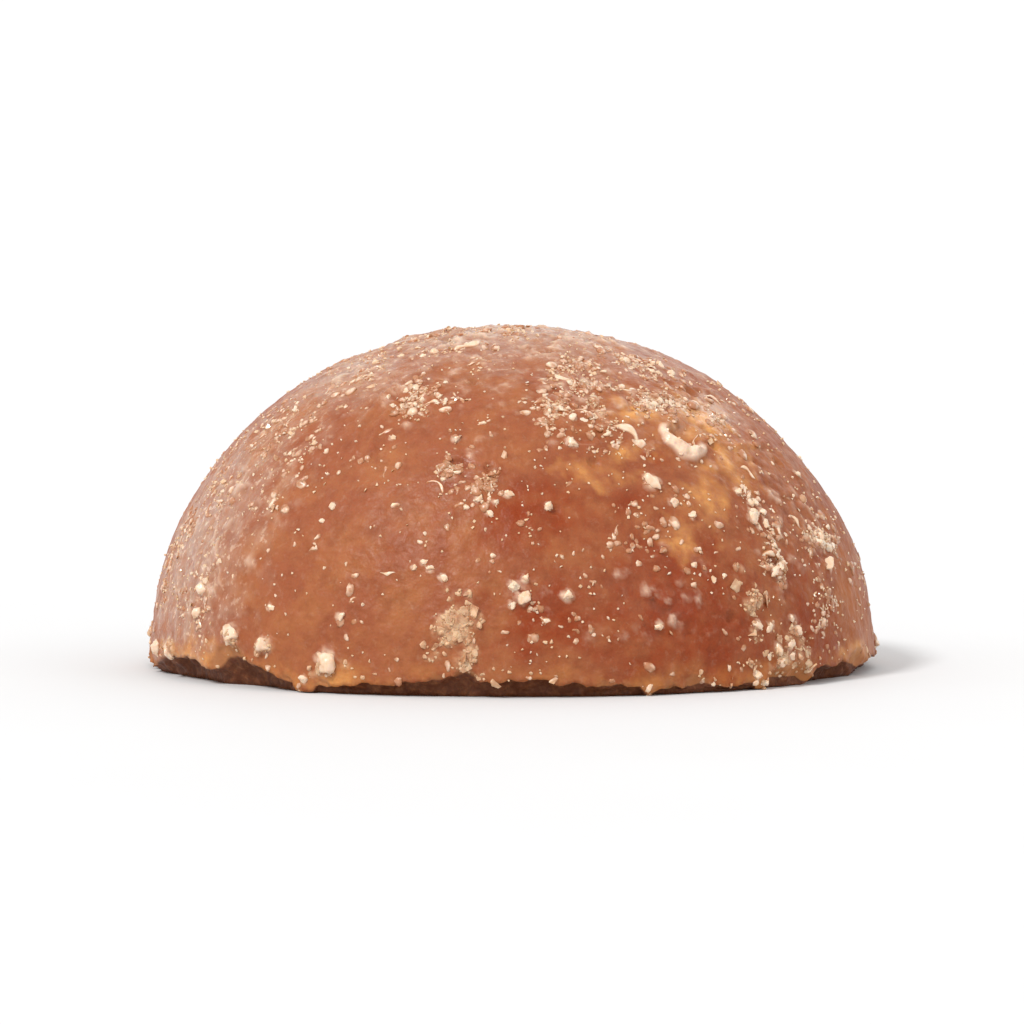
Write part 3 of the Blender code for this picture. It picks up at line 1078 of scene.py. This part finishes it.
def skin_material():
    nodes = Nodes("jaggery_skin")
    # Deeper colour where the deep patches lie: partly the skin's own colour, partly painted shade on the lower front
    # and right.
    colour = nodes.mix(nodes.mask("deep_and_shade"), SKIN, SKIN_DEEP_AND_SHADE)
    streaks = nodes.ramp(nodes.noise(5.5 * MM, 4, 0.6), 0.42, 0.68)
    shallow = nodes.ramp(nodes.mask("deep_and_shade"), 0.0, 1.0, 0.8, 0.2)
    colour = nodes.mix(nodes.times(streaks, shallow), colour, SKIN_OCHRE)
    mottle = nodes.ramp(nodes.noise(2.2 * MM, 4, 0.65), 0.45, 0.72)
    colour = nodes.mix(nodes.times(mottle, 0.5), colour, SKIN_DARK_AND_GAP_SHADE)
    ochre = nodes.ramp(nodes.noise(3.0 * MM, 3), 0.35, 0.60, 0.15, 0.65)
    colour = nodes.mix(nodes.times(nodes.mask("ochre"), ochre), colour, SKIN_YELLOW)
    # Pale bloom of sugar, partly a painted sheen, on the crown, the left side and other patches.
    frost_and_sheen = nodes.times(nodes.mask("frost_and_sheen"), nodes.ramp(nodes.noise(1.3 * MM, 5, 0.7), 0.32, 0.68, 0.10, 0.40))
    colour = nodes.mix(frost_and_sheen, colour, FROST_AND_SHEEN)
    flecks = nodes.ramp(nodes.noise(0.75 * MM, 3, 0.6), 0.56, 0.68, 0.0, 0.8)
    colour = nodes.mix(nodes.times(flecks, nodes.ramp(nodes.mask("frost_and_sheen"), 0.0, 1.0, 0.06, 0.8)), colour, PALE)
    colour = nodes.mix(nodes.times(nodes.mask("ridges"), 0.7), colour, PALE)
    amber = nodes.times(nodes.mask("amber"), nodes.ramp(nodes.noise(2.2 * MM, 4, 0.6), 0.30, 0.55, 0.2, 1.0))
    colour = nodes.mix(amber, colour, AMBER)
    rim = nodes.times(nodes.mask("rim"), nodes.ramp(nodes.noise(3.5 * MM, 3), 0.42, 0.62, 0.0, 0.5))
    colour = nodes.mix(rim, colour, AMBER)
    # Pale tops on the knobs: partly pale sugar on their crests, partly a painted highlight.
    tops = nodes.times(nodes.mask("knobbly"), nodes.ramp(nodes.mask("knobs"), 0.35, 0.85, 0.0, 0.78))
    colour = nodes.mix(nodes.times(tops, nodes.ramp(nodes.noise(1.7 * MM, 3), 0.40, 0.60, 0.15, 1.0)), colour, PALE)
    # Painted shade: the low gaps between the knobs are darkened.
    gap_shade = nodes.times(nodes.mask("knobbly"), nodes.ramp(nodes.mask("knobs"), 0.20, 0.0, 0.0, 0.55))
    colour = nodes.mix(gap_shade, colour, SKIN_DARK_AND_GAP_SHADE)
    # In the crusts, the low gaps between the knobs are painted shade; the pale tops are the crust's colour, partly a
    # painted highlight.
    crust_colour_and_gap_shade = nodes.mix(nodes.ramp(nodes.mask("knobs"), 0.05, 0.5), CRUST_DARK_AND_GAP_SHADE, CRUST)
    crust = nodes.times(nodes.mask("crust"), nodes.ramp(nodes.noise(1.2 * MM, 4, 0.7), 0.32, 0.58, 0.3, 1.0))
    colour = nodes.mix(crust, colour, crust_colour_and_gap_shade)
    # Pale on the blisters' lips, partly pale sugar and partly a painted highlight, and on the sugar banked round the
    # lumps.
    pale = nodes.larger(nodes.ramp(nodes.mask("lips"), 0.10, 0.50), nodes.ramp(nodes.mask("halo"), 0.20, 0.90, 0.0, 0.7))
    colour = nodes.mix(nodes.times(pale, nodes.ramp(nodes.noise(1.1 * MM, 3), 0.3, 0.6, 0.5, 1.0)), colour, PALE)
    colour = nodes.mix(nodes.times(nodes.mask("broken"), 0.6), colour, BROKEN)
    grain = nodes.ramp(nodes.noise(0.9 * MM, 4, 0.7), 0.45, 0.70, 0.0, 0.35)
    # Painted shade: the band under the edge and the base are coloured dark brown, grained with the broken colour.
    colour = nodes.mix(nodes.mask("under"), colour, nodes.mix(grain, UNDERSIDE_SHADE, BROKEN))
    glaze = nodes.larger(nodes.larger(nodes.mask("frost_and_sheen"), nodes.mask("lips")), nodes.times(nodes.mask("amber"), 0.5))
    glaze = nodes.ramp(nodes.larger(glaze, nodes.times(nodes.mask("knobbly"), 0.2)), 0.0, 1.0, 0.02, 0.9)
    roughness = nodes.ramp(nodes.noise(1.1 * MM, 3), 0.3, 0.7, 0.36, 0.58)
    waxy = nodes.bump(nodes.noise(1.2 * MM, 2, 0.5), 0.30 * MM, 0.7)
    fine = nodes.bump(nodes.noise(0.5 * MM, 2, 0.5), 0.10 * MM, 0.7, waxy)
    return nodes.finish(
        Base_Color=colour, Roughness=roughness, Normal=fine, IOR=1.5, Specular_IOR_Level=0.16,
        Coat_Weight=glaze, Coat_Roughness=0.24, Coat_Normal=fine,
        Subsurface_Weight=0.25, Subsurface_Radius=(1.0, 0.36, 0.14), Subsurface_Scale=0.8 * MM)


def bead_material():
    nodes = Nodes("jaggery_bead")
    # Pale crests on some beads: partly pale sugar, partly a painted highlight.
    pale = nodes.ramp(nodes.noise(1.4 * MM, 2), 0.44, 0.62, 0.15, 1.0)
    colour = nodes.mix(nodes.times(pale, nodes.ramp(nodes.mask("top"), 0.50, 0.74)), SKIN_OCHRE, PALE)
    fine = nodes.bump(nodes.noise(0.3 * MM, 2), 0.05 * MM, 0.5)
    return nodes.finish(
        Base_Color=colour, Roughness=0.26, Normal=fine, IOR=1.5, Specular_IOR_Level=0.4,
        Subsurface_Weight=0.25, Subsurface_Radius=(1.0, 0.45, 0.22), Subsurface_Scale=0.5 * MM)


def pale_material():
    nodes = Nodes("pale_sugar")
    mottled = nodes.mix(nodes.ramp(nodes.noise(0.8 * MM, 3), 0.42, 0.70), PALE, CRUST)
    colour = nodes.mix(nodes.ramp(nodes.mask("top"), 0.28, 0.60), SKIN_OCHRE, mottled)
    fine = nodes.bump(nodes.noise(0.4 * MM, 3), 0.08 * MM, 0.6)
    return nodes.finish(
        Base_Color=colour, Roughness=0.34, Normal=fine, IOR=1.5, Coat_Weight=0.3, Coat_Roughness=0.2,
        Subsurface_Weight=0.3, Subsurface_Radius=(1.0, 0.6, 0.4), Subsurface_Scale=0.6 * MM)


def crystal_material():
    nodes = Nodes("sugar_crystal")
    tint = nodes.ramp(nodes.noise(1.3 * MM, 1), 0.30, 0.58)
    colour = nodes.mix(tint, CRYSTAL, CRUMB)
    return nodes.finish(
        Base_Color=colour, Roughness=0.16, IOR=1.55,
        Subsurface_Weight=0.3, Subsurface_Radius=(1, 0.7, 0.45), Subsurface_Scale=0.4 * MM)


def crumb_material():
    nodes = Nodes("sugar_crumb")
    tint = nodes.ramp(nodes.noise(0.9 * MM, 3), 0.35, 0.7)
    colour = nodes.mix(tint, CRUMB, CRUST_DARK_AND_GAP_SHADE)
    rough = nodes.bump(nodes.noise(0.2 * MM, 3), 0.05 * MM, 0.7)
    return nodes.finish(
        Base_Color=colour, Roughness=0.42, Normal=rough, IOR=1.5,
        Subsurface_Weight=0.25, Subsurface_Radius=(1, 0.5, 0.25), Subsurface_Scale=0.5 * MM)


def floor_material():
    nodes = Nodes("floor")
    tone = nodes.ramp(nodes.noise(60 * MM, 2), 0.3, 0.7, 0.655, 0.665)
    return nodes.finish(Base_Color=tone, Roughness=0.7)


# ---------------------------------------------------------------- stage

FLOOR_RADIUS = 6.0
CAMERA_ELEVATION = 4
CAMERA_DISTANCE = 1.0
LENS = 320
AIM = Vector((0, 0, 17 * MM))


def towards(azimuth, elevation):
    """Unit vector from the lump towards something round it."""
    level, up = math.radians(azimuth), math.radians(elevation)
    return Vector((math.sin(level) * math.cos(up), -math.cos(level) * math.cos(up), math.sin(up)))


def faced(thing, name, azimuth, elevation, distance):
    """Puts a camera or a light round the lump, facing it."""
    item = bpy.data.objects.new(name, thing)
    back = towards(azimuth, elevation)
    item.location = AIM + back * distance
    item.rotation_euler = back.to_track_quat("Z", "Y").to_euler()
    bpy.context.scene.collection.objects.link(item)
    return item


def make_floor():
    mesh = bmesh.new()
    bmesh.ops.create_circle(mesh, cap_ends=True, segments=96, radius=FLOOR_RADIUS)
    data = bpy.data.meshes.new("floor")
    mesh.to_mesh(data)
    mesh.free()
    data.materials.append(floor_material())
    floor = bpy.data.objects.new("floor", data)
    floor.location.z = -0.02 * MM
    bpy.context.scene.collection.objects.link(floor)


def make_sun(name, azimuth, elevation, softness, strength):
    sun = bpy.data.lights.new(name, "SUN")
    sun.angle = math.radians(softness)
    sun.energy = strength
    faced(sun, name, azimuth, elevation, 1)


def make_lights():
    make_sun("key", -42, 48, 11, 2.1)
    make_sun("fill", 62, 35, 30, 0.25)
    make_sun("back", 150, 35, 30, 0.20)
    world = bpy.data.worlds.new("studio")
    world.use_nodes = True
    world.node_tree.nodes["Background"].inputs["Color"].default_value = (1, 1, 1, 1)
    world.node_tree.nodes["Background"].inputs["Strength"].default_value = 0.95
    bpy.context.scene.world = world


def make_camera():
    data = bpy.data.cameras.new("camera")
    data.lens = LENS
    data.sensor_width = 36
    data.clip_start = 0.01
    data.clip_end = 20
    bpy.context.scene.camera = faced(data, "camera", 0, CAMERA_ELEVATION, CAMERA_DISTANCE)


def make_lump():
    rng = np.random.default_rng(SEED + 1)
    spots = lump_spots(rng)
    body, points, normals, masks = make_body(spots)
    density = grain_density(points) * (1 - masks["lips"])
    skin = search_tree(points)
    pieces = [
        body,
        make_skin_beads(rng, points, normals, density),
        make_skin_curls(rng, skin, points, normals, density),
        make_pale_curls(rng, skin, points, normals),
        make_pale_lumps(rng, points, normals, spots),
        make_crystals(rng, points, normals, density),
        make_dust(rng, points, normals, density),
        make_flakes(rng, points, normals, masks["crust"], masks["near_edge"]),
        make_crumbs(rng, points, normals, masks["crust"], masks["near_edge"]),
    ]
    for piece in pieces:
        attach(piece, "root")


make_camera()
make_floor()
make_lights()
make_lump()
bpy.context.scene.view_settings.view_transform = "Standard"
